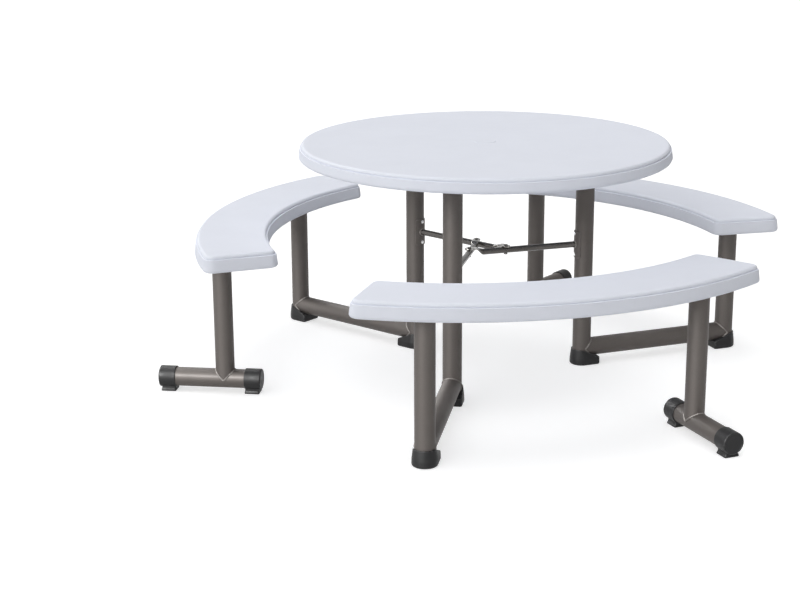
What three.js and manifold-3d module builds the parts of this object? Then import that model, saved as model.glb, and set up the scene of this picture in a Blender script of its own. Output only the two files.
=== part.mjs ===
// A round table on three tubular legs, with three curved benches that swing out from it.
// Lengths are in millimetres and +Z is up. Each third of the object is built in a sector frame,
// whose origin is the table's axis at the floor and whose X axis runs outward along the floor tube.

import * as THREE from "three";
import { mergeVertices } from "three/addons/utils/BufferGeometryUtils.js";
import Module from "manifold-3d";

const wasm = await Module();
wasm.setup();

// Layout
const SECTORS = 3;
const SECTOR_TURN = -99.94; // direction of the first floor tube, in degrees
const FRAME_OFFSET = 52; // from the table's axis to the plane of a floor tube
const TABLE_LEG_REACH = 315; // along the floor tube, from the table's axis
const PIVOT_LEG_REACH = 826.5; // along the floor tube, from the table's axis

// Table top
const TOP_DIAMETER = 1125;
const TOP_HEIGHT = 723;
const TOP_RIM_DEPTH = 43;
const TOP_SLAB = 26; // two moulded skins and the space between them
const TOP_SHOULDER = 9; // radius between the upper face and the rim's ledge
const TOP_RIM_FLARE = 3; // how far the rim leans out towards its lower edge
const TOP_LIP = 24; // width of the rim's lower edge
const POLE_HOLE_DIAMETER = 52;
const PLUG_CAP_DIAMETER = 68;
const PLUG_CAP_THICKNESS = 3;
const PLUG_CAP_PROUD = 0.8; // how far the cap stands above the table
const PLUG_CHAMFER = 1.2;
const PLUG_STEM_LENGTH = 22;

// Seats
const SEAT_HEIGHT = 467.5;
const SEAT_WIDTH = 224;
const SEAT_RADIUS = 973.4; // middle line of the seat
const SEAT_HALF_ANGLE = 33.6;
const SEAT_CORNER = 40; // plan radius of the seat's corners
const SEAT_RIM_DEPTH = 50;
const SEAT_SLAB = 27;
const SEAT_SHOULDER = 9;
const SEAT_RIM_FLARE = 3;
const SEAT_LIP = 20;
const SEAT_MID_ANGLE = 26.37; // direction of the seat's middle, from the floor tube
const LEG_SETOUT = 34.6; // from the seat's middle line out to its legs
const BENCH_LEG_ANGLE = 22.93; // from the seat's middle to each leg

// Moulded edges
const LEDGE_WIDTH = 4.5; // of the step between the shoulder and the rim
const LEDGE_FALL = 1.5; // how much lower the ledge is on its outside
const HOLLOW_DRAFT = 0.25; // lean of the wall of a hollow, for each unit of its depth

// Tubes
const TUBE_DIAMETER = 57.2;
const TUBE_WALL = 2;
const FLOOR_TUBE_HEIGHT = 52; // of its axis above the floor
const FOOT_TUBE_HEIGHT = 41; // of its axis above the floor
const FOOT_TUBE_OUTER = 194; // from the free leg to the tube's outer end
const FOOT_TUBE_INNER = 106; // from the free leg to the tube's inner end
const FOOT_TUBE_TURN = 6; // from square to the line through the bench's legs

// Plastic feet of the fixed frame
const BOOT_SOLE = 8;
const BOOT_HALF_WIDTH = 36.5; // at the floor
const BOOT_TAPER = 4; // how much narrower each side is at its upper edge
const BOOT_HEIGHT = 50; // behind the leg
const BOOT_BREAK = -10; // from the leg's axis to where the upper edge starts to fall
const BOOT_SLOPE = 0.42; // fall of the upper edge towards the floor tube
const BOOT_REACH = 49; // from the leg's axis, along the floor tube

// Plastic caps on the ends of a foot tube
const CAP_WALL = 3.4;
const CAP_SLEEVE = 44; // length over the tube
const CAP_END = 6;
const CAP_CHAMFER = 3;
const CAP_PAD_LENGTH = 42;
const CAP_PAD_WIDTH = 46; // at the floor
const CAP_PAD_NECK = 40; // width where the pad meets the sleeve

// Pivot between a fixed leg and its bench
const POST_DIAMETER = 46;
const POST_WALL = 3;
const POST_LENGTH = 150;
const BUSHING_LENGTH = 120;
const BUSHING_FLANGE = 4;
const RUNNING_CLEARANCE = 0.08;

// Plates between a tube and a moulded part
const PLATE_THICKNESS = 4;
const PLATE_LENGTH = 124;
const PLATE_MARGIN = 8.6; // from a seat's plate to the wall of its hollow
const PLATE_CORNER = 14;
const PLATE_HOLE_DIAMETER = 7;
const PLATE_HOLE_INSET = 13;
const TOP_PLATE_SIDE = 116;

// Brace between the table legs
const BRACE_HEIGHT = 389;
const BRACE_DIAMETER = 19;
const BRACE_OFFSET = 34; // from the table's axis to each brace tube
const TONGUE_WIDTH = 25;
const TONGUE_THICKNESS = 4.6;
const TONGUE_TIP = 14; // past the bolt
const TONGUE_NECK = 18; // flat length before the bolt
const TONGUE_TAPER = 28; // length over which the tube is pressed flat
const SADDLE_HEIGHT = 84;
const SADDLE_THICKNESS = 2.5;
const SADDLE_HALF_ANGLE = 46;
const BOLT_DIAMETER = 8;
const BOLT_HEAD_ACROSS = 13;
const BOLT_HEAD_HEIGHT = 5.3;
const BOLT_TIP = 2; // past the nut
const NUT_HEIGHT = 6.5;

// Fits and facets
const SEAT_GAP = 0.3; // between pieces that bear on each other
const WELD = 1e-3; // distance below which two vertices are one
const TUBE_SIDES = 20;
const BRACE_SIDES = 16;
const BOLT_SIDES = 12;
const HEXAGON_SIDES = 6;
const TOP_SIDES = 72;
const PLUG_SIDES = 24;
const SHOULDER_STEPS = 3;
const SEAT_STEPS = 16;
const CORNER_STEPS = 3;

const DEGREE = Math.PI / 180;
const QUARTER = Math.PI / 2;
const TUBE_RADIUS = TUBE_DIAMETER / 2;
const UP = new THREE.Vector3(0, 1, 0);

// Places in a sector
const benchLegRadius = SEAT_RADIUS + LEG_SETOUT;
const tableLeg = new THREE.Vector2(TABLE_LEG_REACH, -FRAME_OFFSET);
const pivotLeg = new THREE.Vector2(PIVOT_LEG_REACH, -FRAME_OFFSET);
const seatCentre = polar(-benchLegRadius, (SEAT_MID_ANGLE - BENCH_LEG_ANGLE) * DEGREE).add(pivotLeg);
const freeLeg = polar(benchLegRadius, (SEAT_MID_ANGLE + BENCH_LEG_ANGLE) * DEGREE).add(seatCentre);
const footDirection = polar(1, (SEAT_MID_ANGLE + FOOT_TUBE_TURN) * DEGREE);

// Hollow under a seat
const seatDraft = (SEAT_RIM_DEPTH - SEAT_SLAB) * HOLLOW_DRAFT;
const seatPlateWidth = SEAT_WIDTH - 2 * (SEAT_LIP + seatDraft + LEG_SETOUT + PLATE_MARGIN);

// Heights
const topUnderside = TOP_HEIGHT - TOP_SLAB;
const plugCapLow = TOP_HEIGHT + PLUG_CAP_PROUD - PLUG_CAP_THICKNESS;
const tableLegTop = topUnderside - SEAT_GAP - PLATE_THICKNESS - SEAT_GAP;
const seatUnderside = SEAT_HEIGHT - SEAT_SLAB;
const benchTubeTop = seatUnderside - SEAT_GAP - PLATE_THICKNESS - SEAT_GAP;
const pivotLegTop = benchTubeTop - BUSHING_FLANGE - SEAT_GAP;
const bootFloor = BOOT_SOLE + SEAT_GAP;

// Looks of the materials
const paint = { color: 0x6d655f, roughness: 0.42, metalness: 0.35 };
const darkPaint = { color: 0x4c4744, roughness: 0.45, metalness: 0.35 };
const moulded = { color: 0xeceef2, roughness: 0.5, metalness: 0 };
const blackPlastic = { color: 0x37373a, roughness: 0.55, metalness: 0 };
const bushPlastic = { color: 0xd9d6cc, roughness: 0.6, metalness: 0 };
const bareSteel = { color: 0xb4b6b8, roughness: 0.3, metalness: 1 };

function polar(radius, angle) {
  return new THREE.Vector2(radius * Math.cos(angle), radius * Math.sin(angle));
}

function at(place, z) {
  return new THREE.Vector3(place.x, place.y, z);
}

// A closed geometry as a solid that can be joined and cut.
function solid(geometry) {
  const bare = geometry.clone();
  bare.deleteAttribute("normal");
  bare.deleteAttribute("uv");
  const merged = mergeVertices(bare, WELD);
  return new wasm.Manifold(
    new wasm.Mesh({
      numProp: 3,
      vertProperties: merged.attributes.position.array,
      triVerts: new Uint32Array(merged.index.array),
    }),
  );
}

// A named mesh of a solid.
function piece(name, body, look) {
  const { vertProperties, triVerts } = body.getMesh();
  const geometry = new THREE.BufferGeometry();
  geometry.setAttribute("position", new THREE.BufferAttribute(new Float32Array(vertProperties), 3));
  geometry.setIndex(new THREE.BufferAttribute(new Uint32Array(triVerts), 1));
  const mesh = new THREE.Mesh(geometry.toNonIndexed(), new THREE.MeshStandardMaterial(look));
  mesh.geometry.computeVertexNormals();
  mesh.name = name;
  return mesh;
}

// A round bar between two points.
function rod(radius, from, to, sides = TUBE_SIDES) {
  const along = new THREE.Vector3().subVectors(to, from);
  const geometry = new THREE.CylinderGeometry(radius, radius, along.length(), sides);
  geometry.applyQuaternion(new THREE.Quaternion().setFromUnitVectors(UP, along.normalize()));
  const middle = from.clone().add(to).multiplyScalar(0.5);
  return solid(geometry.translate(middle.x, middle.y, middle.z));
}

// A tube between two points, open at both ends.
function tube(radius, wall, from, to) {
  const beyond = new THREE.Vector3().subVectors(to, from).setLength(wall);
  const bore = rod(radius - wall, from.clone().sub(beyond), to.clone().add(beyond));
  return rod(radius, from, to).subtract(bore);
}

// An upright tube over a place on the floor.
function post(place, low, high, radius = TUBE_RADIUS, wall = TUBE_WALL) {
  return tube(radius, wall, at(place, low), at(place, high));
}

// Points on an arc, both ends included.
function arc(centre, radius, from, to, steps) {
  const points = [];
  for (let step = 0; step <= steps; step++)
    points.push(polar(radius, from + ((to - from) * step) / steps).add(centre));
  return points;
}

function area(points) {
  return THREE.ShapeUtils.area(points);
}

// A solid skinned over rings of equal counts, with a cap on its first and last ring.
// flatten turns a ring's point into the two coordinates of its plane.
function loft(rings, flatten = (point) => new THREE.Vector2(point.x, point.y)) {
  const count = rings[0].length;
  const faces = [];
  for (let ring = 0; ring + 1 < rings.length; ring++)
    for (let i = 0; i < count; i++) {
      const [a, b] = [ring * count + i, ring * count + ((i + 1) % count)];
      faces.push([a, b, b + count], [a, b + count, a + count]);
    }
  const last = rings.length - 1;
  for (const [ring, facing] of [[0, -1], [last, 1]]) {
    const contour = rings[ring].map(flatten);
    for (const [a, b, c] of THREE.ShapeUtils.triangulateShape(contour, [])) {
      const turn = area([contour[a], contour[b], contour[c]]) * area(contour) * facing;
      faces.push((turn > 0 ? [a, b, c] : [a, c, b]).map((i) => i + ring * count));
    }
  }
  const points = rings.flat();
  const volume = faces.reduce((sum, [a, b, c]) => {
    return sum + points[a].dot(new THREE.Vector3().crossVectors(points[b], points[c]));
  }, 0);
  const outward = volume > 0 ? faces : faces.map(([a, b, c]) => [a, c, b]);
  return solid(new THREE.BufferGeometry().setFromPoints(points).setIndex(outward.flat()));
}

// A flat shape raised from one height to another.
function slab(shape, low, high) {
  const options = { depth: high - low, bevelEnabled: false, curveSegments: CORNER_STEPS };
  return new THREE.ExtrudeGeometry(shape, options).translate(0, 0, low);
}

function roundedRectangle(length, width, corner) {
  const [x, y] = [length / 2 - corner, width / 2 - corner];
  const shape = new THREE.Shape();
  shape.absarc(x, y, corner, 0, QUARTER);
  shape.absarc(-x, y, corner, QUARTER, 2 * QUARTER);
  shape.absarc(-x, -y, corner, 2 * QUARTER, 3 * QUARTER);
  shape.absarc(x, -y, corner, 3 * QUARTER, 4 * QUARTER);
  return shape;
}

// The moulded edge that the table top and the seats share: a rounded shoulder, a narrow ledge and a
// rim that leans out. It runs from the upper face down, as insets from the widest outline and heights.
function rimProfile(height, rimDepth, shoulder, flare) {
  const profile = arc(new THREE.Vector2(), shoulder, QUARTER, 0, SHOULDER_STEPS).map((point) => ({
    inset: flare + LEDGE_WIDTH + shoulder - point.x,
    z: height - shoulder + point.y,
  }));
  profile.push({ inset: flare, z: height - shoulder - LEDGE_FALL });
  profile.push({ inset: 0, z: height - rimDepth });
  return profile;
}

// The top, hollow below, with a recess round the pole's hole that the plug's cap lies in.
function tableTop() {
  const radius = TOP_DIAMETER / 2;
  const bore = POLE_HOLE_DIAMETER / 2;
  const recess = PLUG_CAP_DIAMETER / 2 + SEAT_GAP;
  const recessFloor = plugCapLow - SEAT_GAP;
  const bottom = TOP_HEIGHT - TOP_RIM_DEPTH;
  const draft = (TOP_RIM_DEPTH - TOP_SLAB) * HOLLOW_DRAFT;
  const rim = rimProfile(TOP_HEIGHT, TOP_RIM_DEPTH, TOP_SHOULDER, TOP_RIM_FLARE);
  const outline = [
    new THREE.Vector2(bore, recessFloor),
    new THREE.Vector2(bore, topUnderside),
    new THREE.Vector2(radius - TOP_LIP - draft, topUnderside),
    new THREE.Vector2(radius - TOP_LIP, bottom),
    ...rim.reverse().map(({ inset, z }) => new THREE.Vector2(radius - inset, z)),
    new THREE.Vector2(recess, TOP_HEIGHT),
    new THREE.Vector2(recess, recessFloor),
    new THREE.Vector2(bore, recessFloor),
  ];
  return solid(new THREE.LatheGeometry(outline, TOP_SIDES).rotateX(QUARTER));
}

function polePlug() {
  const stem = POLE_HOLE_DIAMETER / 2 - SEAT_GAP;
  const cap = PLUG_CAP_DIAMETER / 2;
  const tip = TOP_HEIGHT - PLUG_STEM_LENGTH;
  const high = plugCapLow + PLUG_CAP_THICKNESS;
  const outline = [
    new THREE.Vector2(0, tip),
    new THREE.Vector2(stem, tip),
    new THREE.Vector2(stem, plugCapLow),
    new THREE.Vector2(cap, plugCapLow),
    new THREE.Vector2(cap, high - PLUG_CHAMFER),
    new THREE.Vector2(cap - PLUG_CHAMFER, high),
    new THREE.Vector2(0, high),
  ];
  return solid(new THREE.LatheGeometry(outline, PLUG_SIDES).rotateX(QUARTER));
}

// The seat's outline drawn in by an inset: two arcs joined by four rounded corners.
function seatOutline(inset) {
  const origin = new THREE.Vector2();
  const end = SEAT_HALF_ANGLE * DEGREE;
  const corner = SEAT_CORNER - inset;
  const outer = SEAT_RADIUS + SEAT_WIDTH / 2 - SEAT_CORNER;
  const inner = SEAT_RADIUS - SEAT_WIDTH / 2 + SEAT_CORNER;
  const outerTurn = end - Math.asin(SEAT_CORNER / outer);
  const innerTurn = end - Math.asin(SEAT_CORNER / inner);
  const round = (radius, angle, from, to) => arc(polar(radius, angle), corner, from, to, CORNER_STEPS);
  const outline = [
    arc(origin, outer + corner, -outerTurn, outerTurn, SEAT_STEPS),
    round(outer, outerTurn, outerTurn, end + QUARTER).slice(1),
    round(inner, innerTurn, end + QUARTER, innerTurn + 2 * QUARTER),
    arc(origin, inner - corner, innerTurn, -innerTurn, SEAT_STEPS).slice(1),
    round(inner, -innerTurn, 2 * QUARTER - innerTurn, 3 * QUARTER - end).slice(1),
    round(outer, -outerTurn, 3 * QUARTER - end, 4 * QUARTER - outerTurn).slice(0, -1),
  ].flat();
  return outline.map((point) => point.rotateAround(origin, SEAT_MID_ANGLE * DEGREE).add(seatCentre));
}

function seat() {
  const bottom = SEAT_HEIGHT - SEAT_RIM_DEPTH;
  const profile = rimProfile(SEAT_HEIGHT, SEAT_RIM_DEPTH, SEAT_SHOULDER, SEAT_RIM_FLARE);
  profile.push({ inset: SEAT_LIP, z: bottom });
  profile.push({ inset: SEAT_LIP + seatDraft, z: seatUnderside });
  return loft(profile.map(({ inset, z }) => seatOutline(inset).map((point) => at(point, z))));
}

// A foot that closes the lower end of a leg and cradles the floor tube beside it.
// side is 1 where the tube leaves the leg along +X and -1 along -X.
function boot(place, side) {
  const ring = (inset, top) => {
    const width = BOOT_HALF_WIDTH - inset;
    const back = arc(new THREE.Vector2(), width, QUARTER, 3 * QUARTER, TUBE_SIDES / 2);
    const toe = [-1, 1].map((edge) => new THREE.Vector2(BOOT_REACH, edge * width));
    return [...toe, ...back].map(({ x, y }) => {
      const z = top ? BOOT_HEIGHT - BOOT_SLOPE * Math.max(x - BOOT_BREAK, 0) : 0;
      return new THREE.Vector3(place.x + side * x, place.y + side * y, z);
    });
  };
  const hollow = TUBE_RADIUS + SEAT_GAP;
  const end = place.clone().add(new THREE.Vector2(side * (BOOT_REACH + BOOT_HALF_WIDTH), 0));
  const socket = rod(hollow, at(place, BOOT_SOLE), at(place, BOOT_HEIGHT + BOOT_SOLE));
  const cradle = rod(hollow, at(place, FLOOR_TUBE_HEIGHT), at(end, FLOOR_TUBE_HEIGHT));
  return loft([ring(0, false), ring(BOOT_TAPER, true)]).subtract(socket).subtract(cradle);
}

// The tube along the floor, shaped at each end to the leg that it is welded to.
function floorTube() {
  const low = at(tableLeg, FLOOR_TUBE_HEIGHT);
  const high = at(pivotLeg, FLOOR_TUBE_HEIGHT);
  const legs = [tableLeg, pivotLeg].map((place) => {
    return rod(TUBE_RADIUS + SEAT_GAP, at(place, 0), at(place, FLOOR_TUBE_HEIGHT + TUBE_DIAMETER));
  });
  return tube(TUBE_RADIUS, TUBE_WALL, low, high).subtract(legs[0]).subtract(legs[1]);
}

function footPoint(reach) {
  return at(footDirection.clone().multiplyScalar(reach).add(freeLeg), FOOT_TUBE_HEIGHT);
}

function footTube() {
  return tube(TUBE_RADIUS, TUBE_WALL, footPoint(-FOOT_TUBE_INNER), footPoint(FOOT_TUBE_OUTER));
}

// The free leg, shaped at its lower end to the foot tube under it.
function freeLegTube() {
  const saddle = rod(TUBE_RADIUS + SEAT_GAP, footPoint(-TUBE_DIAMETER), footPoint(TUBE_DIAMETER));
  return post(freeLeg, FOOT_TUBE_HEIGHT, benchTubeTop).subtract(saddle);
}

// A cap over one end of the foot tube, with a pad that stands on the floor.
// side is 1 at the outer end of the tube and -1 at its inner end.
function footCap(side) {
  const tubeEnd = side > 0 ? FOOT_TUBE_OUTER : FOOT_TUBE_INNER;
  const radius = TUBE_RADIUS + CAP_WALL;
  const point = (reach) => footPoint(side * reach);
  const closed = tubeEnd + SEAT_GAP + CAP_END;
  const sleeve = rod(radius, point(tubeEnd - CAP_SLEEVE), point(closed - CAP_CHAMFER));
  const along = new THREE.Vector3().subVectors(point(closed), point(closed - CAP_CHAMFER));
  const chamfer = new THREE.CylinderGeometry(radius - CAP_CHAMFER, radius, CAP_CHAMFER, TUBE_SIDES);
  chamfer.applyQuaternion(new THREE.Quaternion().setFromUnitVectors(UP, along.normalize()));
  chamfer.translate(...point(closed - CAP_CHAMFER / 2).toArray());
  const padMiddle = tubeEnd - CAP_SLEEVE / 2;
  const padRing = (width, z) => {
    const shape = roundedRectangle(CAP_PAD_LENGTH, width, CAP_CHAMFER);
    const outline = shape.getPoints(CORNER_STEPS).slice(0, -1);
    const turn = Math.atan2(footDirection.y, footDirection.x);
    const middle = point(padMiddle);
    return outline.map((corner) => at(corner.rotateAround(new THREE.Vector2(), turn).add(middle), z));
  };
  const pad = loft([padRing(CAP_PAD_WIDTH, 0), padRing(CAP_PAD_NECK, FOOT_TUBE_HEIGHT)]);
  const boreStart = point(tubeEnd - 2 * CAP_SLEEVE);
  const bore = rod(TUBE_RADIUS + SEAT_GAP, boreStart, point(tubeEnd + SEAT_GAP));
  return sleeve.add(solid(chamfer)).add(pad).subtract(bore);
}

// A plate under a moulded part, with a screw hole near each corner.
function plate(place, length, width, turn, high) {
  const shape = roundedRectangle(length, width, PLATE_CORNER);
  const [x, y] = [length / 2 - PLATE_HOLE_INSET, width / 2 - PLATE_HOLE_INSET];
  for (const [side, end] of [[1, 1], [1, -1], [-1, 1], [-1, -1]]) {
    const hole = new THREE.Path();
    hole.absarc(side * x, end * y, PLATE_HOLE_DIAMETER / 2, 0, 4 * QUARTER);
    shape.holes.push(hole);
  }
  const geometry = slab(shape, high - PLATE_THICKNESS, high);
  return solid(geometry.rotateZ(turn).translate(place.x, place.y, 0));
}

function topPlate() {
  return plate(tableLeg, TOP_PLATE_SIDE, TOP_PLATE_SIDE, 0, topUnderside - SEAT_GAP);
}

// A seat's plate lies along the seat, at one of its legs. side is -1 at the pivot and 1 at the free leg.
function seatPlate(place, side) {
  const turn = (SEAT_MID_ANGLE + side * BENCH_LEG_ANGLE) * DEGREE + QUARTER;
  return plate(place, PLATE_LENGTH, seatPlateWidth, turn, seatUnderside - SEAT_GAP);
}

function pivotPost() {
  return post(pivotLeg, benchTubeTop - POST_LENGTH, benchTubeTop, POST_DIAMETER / 2, POST_WALL);
}

// A flanged sleeve that lines the top of the pivot leg. The flats of its bore clear the post's corners.
function pivotBushing() {
  const inner = (POST_DIAMETER / 2 + RUNNING_CLEARANCE) / Math.cos(Math.PI / TUBE_SIDES);
  const outer = TUBE_RADIUS - TUBE_WALL - SEAT_GAP;
  const flangeLow = pivotLegTop + SEAT_GAP;
  const flangeHigh = flangeLow + BUSHING_FLANGE;
  const low = flangeLow - BUSHING_LENGTH;
  const sleeve = rod(outer, at(pivotLeg, low), at(pivotLeg, flangeHigh));
  const flange = rod(TUBE_RADIUS, at(pivotLeg, flangeLow), at(pivotLeg, flangeHigh));
  const beyond = BUSHING_FLANGE;
  const bore = rod(inner, at(pivotLeg, low - beyond), at(pivotLeg, flangeHigh + beyond));
  return sleeve.add(flange).subtract(bore);
}

// The brace is built in a frame turned so that its tube runs along X, past the table's axis.
const legRadius = tableLeg.length();
const braceTurn = Math.atan2(tableLeg.y, tableLeg.x) + Math.asin(BRACE_OFFSET / legRadius);
const braceLeg = new THREE.Vector2(Math.sqrt(legRadius ** 2 - BRACE_OFFSET ** 2), -BRACE_OFFSET);
const braceRadius = BRACE_DIAMETER / 2;
const crossing = BRACE_OFFSET * Math.tan(Math.PI / SECTORS); // from the tube's middle to a crossing
const nearCrossing = new THREE.Vector2(crossing, -BRACE_OFFSET);
const farCrossing = new THREE.Vector2(-crossing, -BRACE_OFFSET);
const saddleRadius = TUBE_RADIUS + SEAT_GAP + SADDLE_THICKNESS;
const tongueLow = BRACE_HEIGHT + braceRadius + SEAT_GAP;
const tongueHigh = tongueLow + TONGUE_THICKNESS;
const nutHigh = BRACE_HEIGHT - braceRadius - SEAT_GAP;

// A plate bent round the inner side of a table leg.
function braceSaddle() {
  const [from, to] = [-1, 1].map((side) => 2 * QUARTER + side * SADDLE_HALF_ANGLE * DEGREE);
  const shape = new THREE.Shape(arc(braceLeg, saddleRadius, from, to, TUBE_SIDES / 2));
  const inside = arc(braceLeg, saddleRadius - SADDLE_THICKNESS, to, from, TUBE_SIDES / 2);
  inside.forEach((point) => shape.lineTo(point.x, point.y));
  const low = BRACE_HEIGHT - SADDLE_HEIGHT / 2;
  return solid(slab(shape, low, low + SADDLE_HEIGHT));
}

// An upright cutter for a bolt, through one height and out beyond the other.
function boltHole(place, low, high) {
  const from = at(place, low - BOLT_DIAMETER);
  const to = at(place, high + BOLT_DIAMETER);
  return rod(BOLT_DIAMETER / 2 + SEAT_GAP, from, to, BOLT_SIDES);
}

// A tube whose far end is pressed flat into a tongue that lies on the next brace tube.
// The flats of the cutter at its near end clear the saddle.
function braceTube() {
  const ring = (x, width, depth, middle, flatness) => {
    const points = [];
    for (let side = 0; side < BRACE_SIDES; side++) {
      const angle = (4 * QUARTER * side) / BRACE_SIDES;
      const rise = THREE.MathUtils.clamp(flatness * Math.sin(angle), -1, 1);
      const y = (width / 2) * Math.cos(angle) - BRACE_OFFSET;
      points.push(new THREE.Vector3(x, y, middle + (depth / 2) * rise));
    }
    return points;
  };
  const round = (x) => ring(x, BRACE_DIAMETER, BRACE_DIAMETER, BRACE_HEIGHT, 1);
  const flat = (x, width) => ring(x, width, TONGUE_THICKNESS, tongueLow + TONGUE_THICKNESS / 2, 2);
  const rings = [
    round(braceLeg.x),
    round(TONGUE_NECK + TONGUE_TAPER - crossing),
    flat(TONGUE_NECK - crossing, TONGUE_WIDTH),
    flat(-crossing - TONGUE_TIP / 2, TONGUE_WIDTH),
    flat(-crossing - TONGUE_TIP, TONGUE_WIDTH / 2),
  ];
  const leg = rod(
    (saddleRadius + SEAT_GAP) / Math.cos(Math.PI / TUBE_SIDES),
    at(braceLeg, BRACE_HEIGHT - BRACE_DIAMETER),
    at(braceLeg, BRACE_HEIGHT + BRACE_DIAMETER),
  );
  const body = loft(rings, (point) => new THREE.Vector2(point.y, point.z));
  const holes = [nearCrossing, farCrossing].map((place) => boltHole(place, nutHigh, tongueHigh));
  return body.subtract(leg).subtract(holes[0]).subtract(holes[1]);
}

function hexagon(low, high) {
  const radius = BOLT_HEAD_ACROSS / Math.sqrt(3);
  return rod(radius, at(farCrossing, low), at(farCrossing, high), HEXAGON_SIDES);
}

function braceBolt() {
  const head = tongueHigh + SEAT_GAP;
  const from = at(farCrossing, nutHigh - NUT_HEIGHT - BOLT_TIP);
  const to = at(farCrossing, head + BOLT_HEAD_HEIGHT / 2);
  const shank = rod(BOLT_DIAMETER / 2, from, to, BOLT_SIDES);
  return hexagon(head, head + BOLT_HEAD_HEIGHT).add(shank);
}

function braceNut() {
  const low = nutHigh - NUT_HEIGHT;
  return hexagon(low, nutHigh).subtract(boltHole(farCrossing, low, nutHigh));
}

const object = new THREE.Group();
object.add(piece("table_top", tableTop(), moulded));
object.add(piece("pole_hole_plug", polePlug(), moulded));

for (let sector = 1; sector <= SECTORS; sector++) {
  const name = (words) => `${words}_${sector}`;
  const third = new THREE.Group();
  third.rotation.z = SECTOR_TURN * DEGREE + ((sector - 1) * 4 * QUARTER) / SECTORS;
  object.add(third);

  // Fixed frame
  third.add(piece(name("table_leg"), post(tableLeg, bootFloor, tableLegTop), paint));
  third.add(piece(name("table_leg_plate"), topPlate(), paint));
  third.add(piece(name("floor_tube"), floorTube(), paint));
  third.add(piece(name("pivot_leg"), post(pivotLeg, bootFloor, pivotLegTop), paint));
  third.add(piece(name("table_leg_foot"), boot(tableLeg, 1), blackPlastic));
  third.add(piece(name("pivot_leg_foot"), boot(pivotLeg, -1), blackPlastic));
  third.add(piece(name("pivot_bushing"), pivotBushing(), bushPlastic));

  // Brace
  const brace = new THREE.Group();
  brace.rotation.z = braceTurn;
  third.add(brace);
  brace.add(piece(name("brace_tube"), braceTube(), darkPaint));
  brace.add(piece(name("brace_saddle"), braceSaddle(), darkPaint));
  brace.add(piece(name("brace_bolt"), braceBolt(), bareSteel));
  brace.add(piece(name("brace_nut"), braceNut(), bareSteel));

  // Bench that swings about the pivot leg
  third.add(piece(name("seat"), seat(), moulded));
  third.add(piece(name("pivot_post"), pivotPost(), bareSteel));
  third.add(piece(name("pivot_plate"), seatPlate(pivotLeg, -1), paint));
  third.add(piece(name("free_leg"), freeLegTube(), paint));
  third.add(piece(name("free_leg_plate"), seatPlate(freeLeg, 1), paint));
  third.add(piece(name("foot_tube"), footTube(), paint));
  third.add(piece(name("foot_cap_outer"), footCap(1), blackPlastic));
  third.add(piece(name("foot_cap_inner"), footCap(-1), blackPlastic));
}

// The part's origin is on the floor, under the middle of the space that the object takes up.
const extent = new THREE.Box3().setFromObject(object, true);
const middle = extent.getCenter(new THREE.Vector3());
object.position.set(-middle.x, -middle.y, 0);

const table = new THREE.Group();
table.add(object);

export default table;
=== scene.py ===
# %% [markdown]
# A round table with three curved benches that swing out from it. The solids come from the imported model,
# which fixes every size and place. This lesson gives them their looks: each piece is rebuilt as a fine
# mesh where the solid is, gets a finish made of nodes, and rides on the body that carries it.

# %% Load the frame
import math

import bmesh
import bpy
from mathutils import Matrix, Vector


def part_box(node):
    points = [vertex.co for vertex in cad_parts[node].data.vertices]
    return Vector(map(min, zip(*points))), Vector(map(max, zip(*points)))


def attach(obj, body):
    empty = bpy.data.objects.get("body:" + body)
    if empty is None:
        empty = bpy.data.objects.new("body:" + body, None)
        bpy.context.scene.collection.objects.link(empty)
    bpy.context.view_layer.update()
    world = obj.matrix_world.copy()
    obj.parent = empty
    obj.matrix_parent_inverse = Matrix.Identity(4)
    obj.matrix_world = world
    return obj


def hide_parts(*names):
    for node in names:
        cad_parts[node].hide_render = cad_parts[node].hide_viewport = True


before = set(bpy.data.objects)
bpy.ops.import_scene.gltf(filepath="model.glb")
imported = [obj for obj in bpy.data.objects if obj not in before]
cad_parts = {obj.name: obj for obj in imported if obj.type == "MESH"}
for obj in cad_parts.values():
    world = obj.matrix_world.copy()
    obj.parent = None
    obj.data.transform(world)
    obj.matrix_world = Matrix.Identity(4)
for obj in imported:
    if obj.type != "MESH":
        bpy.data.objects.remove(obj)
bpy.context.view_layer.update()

# %% [markdown]
# The object repeats itself three times round the table's axis. So each piece is made once, in a sector
# whose X axis runs along a floor tube, and is then turned to its three places. The places themselves are
# read from the solids: the middle of an upright tube's box is the tube's axis. The fixed frame carries
# pieces of all three sectors, and each bench carries those of its own.

# %% Measure the sectors
SECTORS = (1, 2, 3)
CARRIERS = [("table_frame", SECTORS)] + [(f"bench_{number}", (number,)) for number in SECTORS]


def middle(node):
    low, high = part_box(node)
    return (low + high) / 2


def heights(node):
    return [corner.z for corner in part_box(node)]


def set_at(place, heading):
    """The move that turns a shape's X axis along a heading and sets its origin at a place."""
    return Matrix.Translation(place) @ Matrix.Rotation(math.atan2(heading.y, heading.x), 4, "Z")


def sector_frame(number):
    run = middle(f"pivot_leg_{number}") - middle(f"table_leg_{number}")
    return set_at(raised(table_axis, 0), run)


def raised(place, z):
    return Vector((place.x, place.y, z))


def sector_place(node):
    return raised(sector_frames[1].inverted() @ middle(node), 0)


table_axis = middle("table_top")
sector_frames = {number: sector_frame(number) for number in SECTORS}
table_leg = sector_place("table_leg_1")
pivot_leg = sector_place("pivot_leg_1")
free_leg = sector_place("free_leg_1")
for words, place in (("table leg", table_leg), ("pivot leg", pivot_leg), ("free leg", free_leg)):
    print(words, "at", [round(value, 4) for value in place])

# %% [markdown]
# A few small helpers make nearly every mesh. One rounds the corners of a drawn profile, and one sets extra
# points close to those corners. One skins a surface over rings of points. One turns a profile about an
# axis, as a lathe does. Bmesh is used because it keeps the points in order and merges seams and poles.

# %% Helpers for meshes
MERGE = 1e-6
FULL_TURN = 2 * math.pi


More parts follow.
